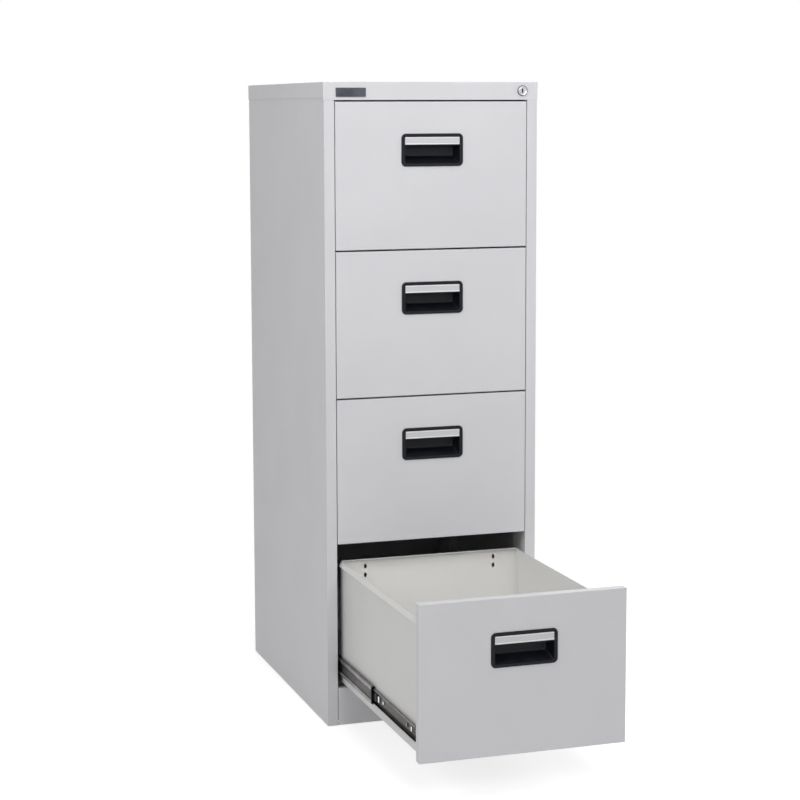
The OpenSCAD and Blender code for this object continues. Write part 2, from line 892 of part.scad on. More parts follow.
module lock_nut() {
    nut_y = front_y + cap_t + seat_gap / 2;
    nut_wall = 3;
    color(STEEL)
        at_lock()
            difference() {
                rod_y(barrel_d + 2 * nut_wall, nut_y, nut_y + lock_nut_h, 6);
                rod_y(barrel_d + 2 * screw_clear, nut_y - past, nut_y + lock_nut_h + past);
            }
}

module lock_plug() {
    color(CHROME)
        at_lock()
            difference() {
                union() {
                    rod_y(plug_d, front_y - lock_proud + plug_sunk, front_y + barrel_len + seat_gap);
                    rod_y(stub_d, front_y + barrel_len, cam_y + cam_t + seat_gap);
                }
                block([-keyway_w / 2, front_y - lock_proud - past, -keyway_h / 2],
                    [keyway_w / 2, front_y + keyway_deep, keyway_h / 2]);
            }
}

module lock_cam() {
    pin = [-pin_drop, 0, -pin_drop];
    boss_wall = 2.5;
    arm_w = cam_pin_d + 3;
    color(STEEL)
        at_lock()
            difference() {
                union() {
                    rod_y(stub_d + 2 * boss_wall, cam_y, cam_y + cam_t);
                    translate(pin) {
                        rod_y(arm_w, cam_y, cam_y + cam_t);
                        rod_y(cam_pin_d, cam_y, bar_y + 2 * bar_t);
                    }
                    rotate([0, -45, 0])
                        block([-cam_r, cam_y, -arm_w / 2], [0, cam_y + cam_t, arm_w / 2]);
                }
                rod_y(stub_d + 2 * plug_clear, cam_y - past, cam_y + cam_t + past);
            }
}

// A flat bar with, welded to its edge, a slotted head for the cam's pin and a finger for each drawer
module lock_bar() {
    edge_x = bar_x - seat_gap;
    pin_z = lock_z - pin_drop;
    slot_half = cam_pin_d / 2 + pin_clear;
    head_half = slot_half + head_wall;
    slot_low_x = lock_x - cam_r - slot_half;
    slot_high_x = lock_x - pin_drop + slot_half;
    color(STEEL) {
        block([bar_x, bar_y, gap_z(drawer_count) + finger_top_z - finger_h],
            [bar_x + bar_w, bar_y + bar_t, pin_z + head_half]);
        for (k = [1:drawer_count])
            block([finger_x, bar_y, gap_z(k) + finger_top_z - finger_h],
                [edge_x, bar_y + bar_t, gap_z(k) + finger_top_z]);
        difference() {
            block([slot_low_x - head_wall, bar_y, pin_z - head_half],
                [edge_x, bar_y + bar_t, pin_z + head_half]);
            block([slot_low_x, bar_y - past, pin_z - slot_half],
                [slot_high_x, bar_y + bar_t + past, pin_z + slot_half]);
        }
    }
}

// Clips on the right side panel that the lock bar slides in
module lock_bar_guides() {
    near_y = bar_y - seat_gap - guide_t;
    far_y = bar_y + bar_t + seat_gap;
    color(STEEL)
        for (k = [1:drawer_count])
            translate([0, 0, gap_z(k) + guide_rise])
                union() {
                    block([inner_x - guide_t, near_y, 0], [inner_x, far_y + guide_t, guide_h]);
                    for (y = [near_y, far_y])
                        block([bar_x - seat_gap, y, 0], [inner_x, y + guide_t, guide_h]);
                }
}

// Drawing

mirror([1, 0, 0]) side_panel();  // left_side_panel
side_panel();  // right_side_panel
back_panel();
top_cap();
kick_plate();
base_pan();
mirror([1, 0, 0]) upright(front_upright_y);  // left_front_upright
right_front_upright();
mirror([1, 0, 0]) upright(rear_upright_y);  // left_rear_upright
upright(rear_upright_y);  // right_rear_upright
levelling_feet();
slide_screws();
nameplate();
lock_housing();
lock_nut();
lock_plug();
lock_cam();
lock_bar();
lock_bar_guides();
for (k = [1:drawer_count]) {
    drawer_front(k);
    drawer_liner(k);
    drawer_tray(k);
    drawer_back(k);
    drawer_handle(k);
    drawer_label(k);
    drawer_screws(k);
    outer_slides(k);
    middle_slides(k);
    inner_slides(k);
}
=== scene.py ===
"""Dresses the upright four-drawer steel cabinet: finishes, folded edges, handles, slides, lock and light.

Metres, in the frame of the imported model: +Z up, -Y towards the viewer.
"""
import json
import math

import bmesh
import bpy
from mathutils import Matrix, Vector


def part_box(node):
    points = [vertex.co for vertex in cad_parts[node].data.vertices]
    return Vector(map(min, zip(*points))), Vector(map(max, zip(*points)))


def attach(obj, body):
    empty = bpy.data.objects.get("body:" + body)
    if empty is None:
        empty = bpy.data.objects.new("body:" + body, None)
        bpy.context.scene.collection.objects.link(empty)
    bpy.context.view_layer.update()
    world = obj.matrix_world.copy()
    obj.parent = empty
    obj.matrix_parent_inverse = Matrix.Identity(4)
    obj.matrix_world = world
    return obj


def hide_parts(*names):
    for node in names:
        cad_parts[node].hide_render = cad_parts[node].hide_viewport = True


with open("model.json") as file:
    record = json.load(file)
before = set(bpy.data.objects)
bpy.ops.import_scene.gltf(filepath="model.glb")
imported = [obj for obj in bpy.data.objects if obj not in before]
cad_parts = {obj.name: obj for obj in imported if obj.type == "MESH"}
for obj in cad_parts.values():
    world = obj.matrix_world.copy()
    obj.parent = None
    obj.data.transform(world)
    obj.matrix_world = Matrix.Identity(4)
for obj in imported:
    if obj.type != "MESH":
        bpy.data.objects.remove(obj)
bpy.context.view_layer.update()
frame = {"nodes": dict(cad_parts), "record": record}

MM = 0.001
DRAWERS = (1, 2, 3, 4)
SLIDE_GAP = 0.1 * MM
SAME_POINT = 0.002 * MM
LEFT_RIGHT, UP_DOWN = (-1, 1, 1), (1, 1, -1)
FRONT_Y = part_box("top_cap")[0].y
OPENING_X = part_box("drawer_1_outer_slides")[1].x + SLIDE_GAP


# ---------------------------------------------------------------- meshes

def make_mesh(name, points, faces, smooth=True):
    """A mesh from points and faces, without empty faces and with its normals turned outwards."""
    mesh = bpy.data.meshes.new(name)
    mesh.from_pydata([tuple(p) for p in points], [], faces)
    work = bmesh.new()
    work.from_mesh(mesh)
    bmesh.ops.dissolve_degenerate(work, dist=SAME_POINT, edges=work.edges)
    bmesh.ops.recalc_face_normals(work, faces=work.faces)
    for face in work.faces:
        face.smooth = smooth
    work.to_mesh(mesh)
    work.free()
    return mesh


def finished(work, name):
    """The mesh that the work has come to."""
    mesh = bpy.data.meshes.new(name)
    work.to_mesh(mesh)
    work.free()
    return mesh


def join(name, meshes):
    """One mesh from several. Their faces keep their material numbers."""
    work = bmesh.new()
    for mesh in meshes:
        work.from_mesh(mesh)
    return finished(work, name)


def mirrored(mesh, flip=LEFT_RIGHT):
    """A mesh with its mirror image, across the cabinet's middle plane or across height 0."""
    work = bmesh.new()
    work.from_mesh(mesh)
    bmesh.ops.scale(work, vec=flip, verts=work.verts)
    bmesh.ops.reverse_faces(work, faces=work.faces)
    return join(mesh.name + "_pair", [mesh, finished(work, mesh.name + "_image")])


def moved(mesh, place):
    """A copy of a mesh, moved."""
    copy = mesh.copy()
    copy.transform(Matrix.Translation(place))
    return copy


def loft(name, rings, closed=False):
    """A skin over rings that have equally many points, with its ends capped or closed into a loop."""
    count = len(rings[0])
    points = [point for ring in rings for point in ring]
    faces = []
    for number in range(len(rings) if closed else len(rings) - 1):
        base = number * count
        onward = (number + 1) % len(rings) * count
        for i in range(count):
            j = (i + 1) % count
            faces.append((base + i, base + j, onward + j, onward + i))
    if not closed:
        faces.append(tuple(range(count)))
        faces.append(tuple(range(len(points) - count, len(points))))
    return make_mesh(name, points, faces)


def extrude(name, outline, start, end, axis):
    """A solid from a closed outline of (a, b) points, run along axis X or Y."""
    def place(a, b, along):
        return (along, a, b) if axis == "X" else (a, along, b)
    rings = [[place(a, b, along) for a, b in outline] for along in (start, end)]
    return loft(name, rings)


def lathe(name, section, centre, steps=48):
    """A ring turned around an axis along Y, from the (radius, y) points of its closed section."""
    turns = [2 * math.pi * step / steps for step in range(steps)]
    rings = []
    for radius, y in section:
        rings.append([(centre.x + radius * math.cos(turn), centre.y + y, centre.z + radius * math.sin(turn))
                      for turn in turns])
    return loft(name, rings, closed=True)


def box_mesh(name, low, high, bevel, segments=2):
    """A box between two corners, its edges rounded."""
    work = bmesh.new()
    bmesh.ops.create_cube(work, size=1)
    bmesh.ops.scale(work, vec=Vector(high) - Vector(low), verts=work.verts)
    bmesh.ops.translate(work, vec=(Vector(low) + Vector(high)) / 2, verts=work.verts)
    bmesh.ops.bevel(work, geom=work.edges[:], offset=bevel, segments=segments, affect="EDGES", profile=0.5)
    for face in work.faces:
        face.smooth = True
    return finished(work, name)


def arc(steps, start=0.0, end=90.0):
    """The angles of an arc's points."""
    return [math.radians(start + (end - start) * step / steps) for step in range(steps + 1)]


def rounded_ring(half_w, low, high, radius, y, steps=8):
    """A rectangle with round corners in X and Z, as a closed ring of points."""
    corners = ((half_w - radius, high - radius, 0), (radius - half_w, high - radius, 90),
               (radius - half_w, low + radius, 180), (half_w - radius, low + radius, 270))
    return [(x + radius * math.cos(angle), y, z + radius * math.sin(angle))
            for x, z, start in corners for angle in arc(steps, start, start + 90)]


def rounded_path(corners, steps=5):
    """An open path with its inner corners rounded, from (a, b, radius) corners."""
    path = [Vector(corners[0][:2])]
    for before, here, after in zip(corners, corners[1:], corners[2:]):
        point, radius = Vector(here[:2]), here[2]
        back = (Vector(before[:2]) - point).normalized()
        on = (Vector(after[:2]) - point).normalized()
        if radius <= 0:
            path.append(point)
            continue
        half = back.angle(on) / 2
        reach = radius / math.tan(half)
        centre = point + (back + on).normalized() * (radius / math.sin(half))
        start, end = point + back * reach - centre, point + on * reach - centre
        sweep = start.angle_signed(end)
        for step in range(steps + 1):
            turn = Matrix.Rotation(-sweep * step / steps, 2)
            path.append(centre + turn @ start)
    path.append(Vector(corners[-1][:2]))
    return path


def strip_outline(path, thickness):
    """The closed outline of a strip of sheet that follows an open path."""
    left, right = [], []
    for number, point in enumerate(path):
        before = path[max(number - 1, 0)]
        after = path[min(number + 1, len(path) - 1)]
        side = (after - before).normalized().orthogonal() * (thickness / 2)
        left.append(point + side)
        right.append(point - side)
    return left + right[::-1]


def cut(mesh, cutters):
    """A mesh with the cutters' solids taken out of it."""
    target = bpy.data.objects.new("cut_target", mesh)
    tool = bpy.data.objects.new("cut_tool", join("cutters", cutters))
    for item in (target, tool):
        bpy.context.scene.collection.objects.link(item)
    difference = target.modifiers.new("cut", "BOOLEAN")
    difference.operation = "DIFFERENCE"
    difference.solver = "EXACT"
    difference.object = tool
    result = bpy.data.meshes.new_from_object(target.evaluated_get(bpy.context.evaluated_depsgraph_get()))
    bpy.data.objects.remove(target)
    bpy.data.objects.remove(tool)
    return result


def shade_evenly(piece):
    """Shading that is led by a piece's large faces."""
    even = piece.modifiers.new("even_shading", "WEIGHTED_NORMAL")
    even.keep_sharp = True


SHARP = math.radians(35)


def soften(piece, width, segments):
    """Rounds a piece's sharp edges when it is shown."""
    bevel = piece.modifiers.new("soft_edges", "BEVEL")
    bevel.width = width
    bevel.segments = segments
    bevel.limit_method = "ANGLE"
    bevel.angle_limit = SHARP
    bevel.miter_outer = "MITER_ARC"
    shade_evenly(piece)


# ---------------------------------------------------------------- materials

NOISE_MIDDLE = (0.35, 0.65)


def new_material(name):
    """An empty material with a surface shader."""
    material = bpy.data.materials.new(name)
    material.use_nodes = True
    return material


def put(owner, kind, **settings):
    """A new shader node of a material or of the world, with its settings."""
    node = owner.node_tree.nodes.new(kind)
    for name, value in settings.items():
        setattr(node, name, value)
    return node


def link(owner, source, target):
    """Joins an output to an input."""
    owner.node_tree.links.new(source, target)


def surface(material):
    """A material's surface shader."""
    return material.node_tree.nodes["Principled BSDF"]


def position(material, stretch=(1, 1, 1)):
    """The place on the piece in metres, stretched along its axes."""
    place = put(material, "ShaderNodeTexCoord")
    scale = put(material, "ShaderNodeMapping")
    scale.inputs["Scale"].default_value = stretch
    link(material, place.outputs["Object"], scale.inputs["Vector"])
    return scale.outputs["Vector"]


def noise(material, vector, scale, detail=2.0, roughness=0.5):
    """A noise that is read at a place."""
    node = put(material, "ShaderNodeTexNoise")
    node.inputs["Scale"].default_value = scale
    node.inputs["Detail"].default_value = detail
    node.inputs["Roughness"].default_value = roughness
    link(material, vector, node.inputs["Vector"])
    return node.outputs["Fac"]


def ramp(material, value, low, high):
    """Two colours or two greys, spread over the middle of a noise."""
    node = put(material, "ShaderNodeValToRGB")
    ends = node.color_ramp.elements
    ends[0].position, ends[1].position = NOISE_MIDDLE
    for end, colour in zip(ends, (low, high)):
        end.color = (colour, colour, colour, 1) if isinstance(colour, float) else (*colour, 1)
    link(material, value, node.inputs["Fac"])
    return node.outputs["Color"]


def bump(material, height, depth, strength, under=None):
    """A bump of a depth in metres, laid over another one where there is one."""
    node = put(material, "ShaderNodeBump")
    node.inputs["Strength"].default_value = strength
    node.inputs["Distance"].default_value = depth
    link(material, height, node.inputs["Height"])
    if under is not None:
        link(material, under, node.inputs["Normal"])
    return node.outputs["Normal"]


def shade(colour, factor):
    """A colour made darker or lighter."""
    return tuple(min(1.0, channel * factor) for channel in colour)


def dress(material, colour, roughness, normal=None):
    """Links a colour, a roughness and, where there is one, a bump to the material's surface."""
    bsdf = surface(material)
    link(material, colour, bsdf.inputs["Base Color"])
    link(material, roughness, bsdf.inputs["Roughness"])
    if normal is not None:
        link(material, normal, bsdf.inputs["Normal"])


def enamel(name, colour, rough):
    """Powder-coated sheet: a fine pebbled skin over slow waves, and a tone that drifts a little."""
    material = new_material(name)
    surface(material).inputs["Specular IOR Level"].default_value = 0.20
    place = position(material)
    drift = noise(material, place, scale=7.0, detail=3.0)
    pebbles = noise(material, place, scale=620.0, roughness=0.6)
    swell = noise(material, place, scale=38.0, detail=1.0)
    waves = bump(material, swell, depth=0.12 * MM, strength=0.5)
    dress(material, ramp(material, drift, shade(colour, 0.985), shade(colour, 1.012)),
          ramp(material, pebbles, rough - 0.05, rough + 0.05),
          bump(material, pebbles, depth=0.09 * MM, strength=0.55, under=waves))
    return material


def rolled_steel(name, colour, rough, along):
    """Plated steel with fine rolling lines along one axis, and cloudy patches."""
    material = new_material(name)
    surface(material).inputs["Metallic"].default_value = 1.0
    lines = noise(material, position(material, along), scale=1400.0, detail=3.0)
    clouds = noise(material, position(material), scale=26.0, detail=4.0, roughness=0.6)
    dress(material, ramp(material, clouds, shade(colour, 0.72), shade(colour, 1.25)),
          ramp(material, lines, rough - 0.08, rough + 0.10),
          bump(material, lines, depth=0.04 * MM, strength=0.5))
    return material


def chrome(name, colour, rough):
    """Polished or bright plated metal under a slight haze."""
    material = new_material(name)
    surface(material).inputs["Metallic"].default_value = 1.0
    haze = noise(material, position(material), scale=420.0, detail=4.0)
    dress(material, ramp(material, haze, shade(colour, 0.93), colour),
          ramp(material, haze, rough, rough + 0.09))
    return material


def moulded_plastic(name, colour, rough, grain_depth):
    """Moulded plastic with a fine spark-eroded grain."""
    material = new_material(name)
    surface(material).inputs["Specular IOR Level"].default_value = 0.22
    place = position(material)
    grain = noise(material, place, scale=2600.0)
    patches = noise(material, place, scale=55.0, detail=3.0)
    dress(material, ramp(material, patches, shade(colour, 0.82), shade(colour, 1.2)),
          ramp(material, patches, rough - 0.04, rough + 0.06),
          bump(material, grain, depth=grain_depth, strength=0.6))
    return material


def card(name, colour, coat):
    """Card or white plastic behind a clear glossy skin."""
    material = new_material(name)
    bsdf = surface(material)
    bsdf.inputs["Coat Weight"].default_value = coat
    bsdf.inputs["Coat Roughness"].default_value = 0.12
    fibres = noise(material, position(material, (1, 1, 3)), scale=700.0, detail=4.0)
    dress(material, ramp(material, fibres, shade(colour, 0.97), colour), ramp(material, fibres, 0.42, 0.52))
    return material


ALONG_SLIDE, ALONG_CAGE = (1, 0.02, 1), (1, 0.05, 1)
ALONG_PLATE, ALONG_RIM = (0.03, 1, 1), (0.05, 1, 1)
FINISHES = {
    "grey_enamel": enamel("grey_enamel", (0.600, 0.598, 0.620), rough=0.46),
    # Trays and backs: a warmer enamel, set lighter than the outer grey as painted light for the dim drawer
    # insides.
    "inside_enamel": enamel("inside_enamel", (0.640, 0.638, 0.630), rough=0.44),
    "slide_steel": rolled_steel("slide_steel", (0.150, 0.132, 0.126), rough=0.34, along=ALONG_SLIDE),
    "screw_steel": chrome("screw_steel", (0.20, 0.175, 0.16), rough=0.36),
    "lock_chrome": chrome("lock_chrome", (0.60, 0.61, 0.63), rough=0.16),
    "plate_metal": rolled_steel("plate_metal", (0.066, 0.069, 0.082), rough=0.36, along=ALONG_PLATE),
    "handle_plastic": moulded_plastic("handle_plastic", (0.0042, 0.0050, 0.0082), rough=0.42,
                                      grain_depth=0.03 * MM),
    "label_card": card("label_card", (0.53, 0.535, 0.545), coat=0.5),
    "foot_plastic": moulded_plastic("foot_plastic", (0.022, 0.022, 0.022), rough=0.55, grain_depth=0.06 * MM),
}
EXTRAS = {
    "label_edge": card("label_edge", (0.72, 0.72, 0.74), coat=0.3),
    "plate_rim": rolled_steel("plate_rim", (0.105, 0.110, 0.125), rough=0.28, along=ALONG_RIM),
    # The lock bezel's rim: chrome made dark, a painted dark reflection on its rounded edge.
    "lock_ring_painted_reflection": chrome("lock_ring_painted_reflection", (0.150, 0.150, 0.165), rough=0.22),
    # The drawers' backs: the enamel made lighter still, painted light on the dim back walls.
    "back_enamel_painted_light": enamel("back_enamel_painted_light", (0.725, 0.720, 0.706), rough=0.44),
    # The trays' inner faces and floors: a lighter copy of the enamel, painted light inside the drawers.
    "lining_enamel_painted_light": enamel("lining_enamel_painted_light", (0.760, 0.755, 0.738), rough=0.44),
    # The drawer members' lower lips and the strip on their races: near-black steel, painted shade in the
    # channels.
    "race_painted_shade": rolled_steel("race_painted_shade", (0.012, 0.011, 0.011), rough=0.40, along=ALONG_SLIDE),
    # The members' webs: darker, browner steel, a painted dark reflection.
    "web_painted_dark_reflection": rolled_steel("web_painted_dark_reflection", (0.046, 0.035, 0.031), rough=0.36, along=ALONG_SLIDE),
    # The members' lips: lighter steel, a painted highlight along them.
    "lip_steel_painted_highlight": rolled_steel("lip_steel_painted_highlight", (0.215, 0.210, 0.215), rough=0.28, along=ALONG_SLIDE),
    "bright_zinc": chrome("bright_zinc", (0.86, 0.86, 0.86), rough=0.30),
    "cage_steel": rolled_steel("cage_steel", (0.30, 0.29, 0.28), rough=0.30, along=ALONG_CAGE),
    "ball_steel": chrome("ball_steel", (0.60, 0.60, 0.62), rough=0.10),
    "stop_plastic": moulded_plastic("stop_plastic", (0.010, 0.010, 0.011), rough=0.42, grain_depth=0.04 * MM),
}

for row in frame["record"]["subparts"]:
    node_mesh = frame["nodes"][row["node"]].data
    node_mesh.materials.clear()
    node_mesh.materials.append(FINISHES[row["material_slot"]])


def add_piece(name, mesh, body, slot, replaced=(), materials=None):
    """Shows a mesh as a piece that moves with a body, in place of the nodes it stands for."""
    for material in materials or [FINISHES[slot]]:
        mesh.materials.append(material)
    piece = bpy.data.objects.new(name, mesh)
    bpy.context.scene.collection.objects.link(piece)
    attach(piece, body)
    if replaced:
        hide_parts(*replaced)
    return piece


# ---------------------------------------------------------------- folded sheet

FOLD_R, TRAY_FOLD_R, INNER_FOLD_R, RIM_R = 1.3 * MM, 0.9 * MM, 0.5 * MM, 0.26 * MM
NARROW_FOLDS, RIM_SHARE = 3, 0.3
FLAT, FOLDED, QUAD_SHAPE = math.radians(0.5), math.radians(30), math.radians(30)
FACING = 0.5
BODY_SHEETS = ("left_side_panel", "right_side_panel", "back_panel", "top_cap", "kick_plate")


def clean_sheet(node, name):
    """A node's mesh with its seams welded and its flat stretches merged."""
    work = bmesh.new()
    work.from_mesh(frame["nodes"][node].data)
    bmesh.ops.remove_doubles(work, verts=work.verts, dist=SAME_POINT)
    bmesh.ops.dissolve_limit(work, angle_limit=FLAT, verts=work.verts, edges=work.edges)
    many_sided = [face for face in work.faces if len(face.verts) > 4]
    bmesh.ops.triangulate(work, faces=many_sided, quad_method="BEAUTY", ngon_method="BEAUTY")
    bmesh.ops.join_triangles(work, faces=work.faces[:], angle_face_threshold=FLAT,
                             angle_shape_threshold=QUAD_SHAPE)
    work.verts.index_update()
    mesh = bpy.data.meshes.new(name)
    mesh.from_pydata([v.co for v in work.verts], [], [[v.index for v in f.verts] for f in work.faces])
    work.free()
    return mesh


def face_reach(edge, face):
    """How far a face runs on from one of its edges, at the nearer end."""
    for loop in face.loops:
        if loop.edge == edge:
            return min(loop.link_loop_prev.edge.calc_length(), loop.link_loop_next.edge.calc_length())
    return 0.0


def edge_radius(edge, fold):
    """The radius that an edge of a sheet gets: a fold is bent round, and a cut edge is just broken."""
    reach = min(face_reach(edge, face) for face in edge.link_faces)
    if reach < NARROW_FOLDS * fold:
        return min(RIM_R, reach * RIM_SHARE)
    return fold if edge.is_convex else INNER_FOLD_R


def weigh_edges(mesh, fold):
    """Gives each sharp edge of a sheet its radius, as a share of the fold radius."""
    work = bmesh.new()
    work.from_mesh(mesh)
    weights = work.edges.layers.float.new("bevel_weight_edge")
    for edge in work.edges:
        if len(edge.link_faces) == 2 and edge.calc_face_angle(0) >= FOLDED:
            edge[weights] = edge_radius(edge, fold) / fold
    for face in work.faces:
        face.smooth = True
    work.to_mesh(mesh)
    work.free()


def folded_sheet(node, name, body, slot, fold=FOLD_R, materials=None):
    """A sheet-steel node with its folds rounded to their bend radius and its cut edges just broken."""
    mesh = clean_sheet(node, name)
    weigh_edges(mesh, fold)
    piece = add_piece(name, mesh, body, slot, [node], materials)
    bevel = piece.modifiers.new("folds", "BEVEL")
    bevel.width = fold
    bevel.segments = 4
    bevel.limit_method = "WEIGHT"
    bevel.miter_outer = "MITER_ARC"
    bevel.loop_slide = False
    shade_evenly(piece)
    return piece


def tone_inside(mesh):
    """The second material, a lighter copy of the enamel as painted light, on the faces that line a tray: its
    walls' inner sides and its floor.
    """
    heights = [vertex.co.z for vertex in mesh.vertices]
    middle = (min(heights) + max(heights)) / 2
    for face in mesh.polygons:
        inwards = -face.normal.x if face.center.x > 0 else face.normal.x
        floor = face.normal.z > FACING and face.center.z < middle
        face.material_index = 1 if inwards > FACING or floor else 0


def build_sheets():
    """The cabinet's panels, and each drawer's front, tray and back."""
    for node in BODY_SHEETS:
        folded_sheet(node, node + "_sheet", "cabinet", "grey_enamel")
    for number in DRAWERS:
        drawer = f"drawer_{number}"
        folded_sheet(drawer + "_front", drawer + "_front_sheet", drawer, "grey_enamel")
        # Each tray's inner faces get the lighter lining copy, painted light.
        tray = folded_sheet(drawer + "_tray", drawer + "_tray_sheet", drawer, "inside_enamel", TRAY_FOLD_R,
                            [FINISHES["inside_enamel"], EXTRAS["lining_enamel_painted_light"]])
        tone_inside(tray.data)
        # Each back is shown in the lighter enamel copy, painted light.
        folded_sheet(drawer + "_back", drawer + "_back_sheet", drawer, "inside_enamel", TRAY_FOLD_R,
                     [EXTRAS["back_enamel_painted_light"]])


build_sheets()


# ---------------------------------------------------------------- handles

BEZEL_SIDE, BEZEL_FOOT, BEZEL_HEAD = 7.5 * MM, 5.8 * MM, 6.9 * MM
BEZEL_T, BEZEL_R, BEZEL_RIM_R = 2.0 * MM, 9.5 * MM, 1.3 * MM
WINDOW_R, WINDOW_LIP_R, WINDOW_SET, LEDGE_Y = 3.6 * MM, 0.7 * MM, 0.1 * MM, -1.1 * MM
CUP_DEPTH, CUP_WALL, CUP_FILLET = 26.0 * MM, 1.6 * MM, 2.4 * MM
CUP_TAPER, CUP_CLIMB, CUP_ROUNDING = 7.0 * MM, 15.0 * MM, 4.0 * MM
CUP_BEND, CUP_WAIST, SEAT = 16.0 * MM, 8.0 * MM, 0.1 * MM
LABEL_H, LABEL_GAP, LABEL_SEAT = 15.5 * MM, 0.2 * MM, 0.9 * MM
CARD_BACK, CARD_FACE, CARD_LIP, CARD_CROWN = -1.15 * MM, -1.5 * MM, -1.85 * MM, 0.05 * MM
CARD_LIP_H, CARD_SLOPE, CARD_CHAMFER = 2.4 * MM, 0.4 * MM, 0.2 * MM
GRIP_H, GRIP_NOSE_R, GRIP_BACK = 2.2 * MM, 1.1 * MM, 2.0 * MM
CARRIER_CHAMFER, CARRIER_OVERLAP = 0.3 * MM, 0.5 * MM


def handle_shell(half_w, half_h):
    """The bezel and the cup behind it, as one skin. Places count from the front plane and the middle."""
    open_w = half_w - BEZEL_SIDE
    low, high = -half_h + BEZEL_FOOT, half_h - BEZEL_HEAD
    floor = CUP_DEPTH - CUP_WALL

    def cup(y, wall, shrink=0.0):
        """A ring of the cup, which narrows, climbs and grows rounder towards its back."""
        share = max(y, 0.0) / CUP_DEPTH
        return rounded_ring(open_w + CUP_WALL - wall - CUP_TAPER * share - shrink,
                            low - CUP_WALL + wall + CUP_CLIMB * share + shrink,
                            high - wall - shrink, WINDOW_R + CUP_ROUNDING * share, y)

    rings = [cup(floor - CUP_FILLET * (1 - math.cos(angle)), CUP_WALL, CUP_FILLET * (1 - math.sin(angle)))
             for angle in arc(5)]
    rings += [cup(y, CUP_WALL) for y in (CUP_BEND, CUP_WAIST, 0.0)]
    rings.append(rounded_ring(open_w, low, high - CUP_WALL, WINDOW_R, LEDGE_Y))
    rings.append(rounded_ring(open_w, low, high, WINDOW_R, LEDGE_Y))
    for angle in arc(4):
        out = WINDOW_LIP_R * (1 - math.cos(angle))
        rings.append(rounded_ring(open_w + out, low - out, high + out, WINDOW_R + out,
                                  WINDOW_SET - BEZEL_T + WINDOW_LIP_R * (1 - math.sin(angle))))
    rings.append(rounded_ring(open_w + BEZEL_SIDE / 2, low - BEZEL_FOOT / 2, high + BEZEL_HEAD / 2,
                              (WINDOW_R + BEZEL_R) / 2, -BEZEL_T))
    for angle in arc(6):
        back = BEZEL_RIM_R * (1 - math.sin(angle))
        rings.append(rounded_ring(half_w - back, -half_h + back, half_h - back, BEZEL_R - back,
                                  -BEZEL_T + BEZEL_RIM_R * (1 - math.cos(angle))))
    rings.append(rounded_ring(half_w, -half_h, half_h, BEZEL_R, -SEAT))
    rings += [cup(y, 0.0) for y in (-SEAT, CUP_WAIST)]
    rings += [cup(CUP_DEPTH - CUP_FILLET * (1 - math.sin(angle)), 0.0, CUP_FILLET * (1 - math.cos(angle)))
              for angle in arc(4)]
    return loft("handle_shell", rings)


def label_carrier(half_w, half_h):
    """The bar across the window that carries the label and ends in the grip edge."""
    top = half_h - BEZEL_HEAD - CUP_WALL / 2
    label_low = half_h - BEZEL_HEAD - LABEL_H
    low = label_low - GRIP_H
    front, seat, nose = WINDOW_SET - BEZEL_T, LABEL_SEAT - BEZEL_T, GRIP_NOSE_R
    outline = [(GRIP_BACK, top)]
    outline += [(GRIP_BACK - nose + nose * math.cos(a), low + nose - nose * math.sin(a)) for a in arc(4)]
    outline += [(front + nose - nose * math.sin(a), low + nose - nose * math.cos(a)) for a in arc(4)]
    outline += [(front, label_low - CARRIER_CHAMFER), (front + CARRIER_CHAMFER, label_low),
                (seat, label_low), (seat, top)]
    reach = half_w - BEZEL_SIDE + CARRIER_OVERLAP
    return extrude("label_carrier", outline, -reach, reach, "X")


def label_strip(half_w, half_h):
    """The label: a card held by a folded lip along its top and its bottom."""
    high = half_h - BEZEL_HEAD - LABEL_GAP
    low = half_h - BEZEL_HEAD - LABEL_H + LABEL_GAP
    middle = (low + high) / 2
    upper = [(CARD_FACE, high - CARD_LIP_H), (CARD_LIP, high - CARD_LIP_H + CARD_SLOPE),
             (CARD_LIP, high - CARD_CHAMFER), (CARD_LIP + CARD_CHAMFER, high), (CARD_BACK, high)]
    lower = [(y, low + high - z) for y, z in reversed(upper)]
    reach = half_w - BEZEL_SIDE - LABEL_GAP
    mesh = extrude("label_strip", lower + [(CARD_FACE - CARD_CROWN, middle)] + upper, -reach, reach, "X")
    for face in mesh.polygons:
        face.use_smooth = False
        on_card = abs(face.center.z - middle) < (high - low) / 2 - CARD_LIP_H
        face.material_index = 0 if on_card else 1
    return mesh


def build_handles():
    """Each drawer's handle and label."""
    low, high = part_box("drawer_1_handle")
    half_w, half_h = (high.x - low.x) / 2, (high.z - low.z) / 2
    shell = join("drawer_handle", [handle_shell(half_w, half_h), label_carrier(half_w, half_h)])
    strip = label_strip(half_w, half_h)
    for number in DRAWERS:
        drawer = f"drawer_{number}"
        low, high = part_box(f"drawer_{number}_handle")
        middle = Vector((0, low.y + BEZEL_T, (low.z + high.z) / 2))
        handle = add_piece(drawer + "_pull", moved(shell, middle), drawer, "handle_plastic",
                           [drawer + "_handle"])
        shade_evenly(handle)
        add_piece(drawer + "_label_strip", moved(strip, middle), drawer, "label_card", [drawer + "_label"],
                  [FINISHES["label_card"], EXTRAS["label_edge"]])


build_handles()


# ---------------------------------------------------------------- slides

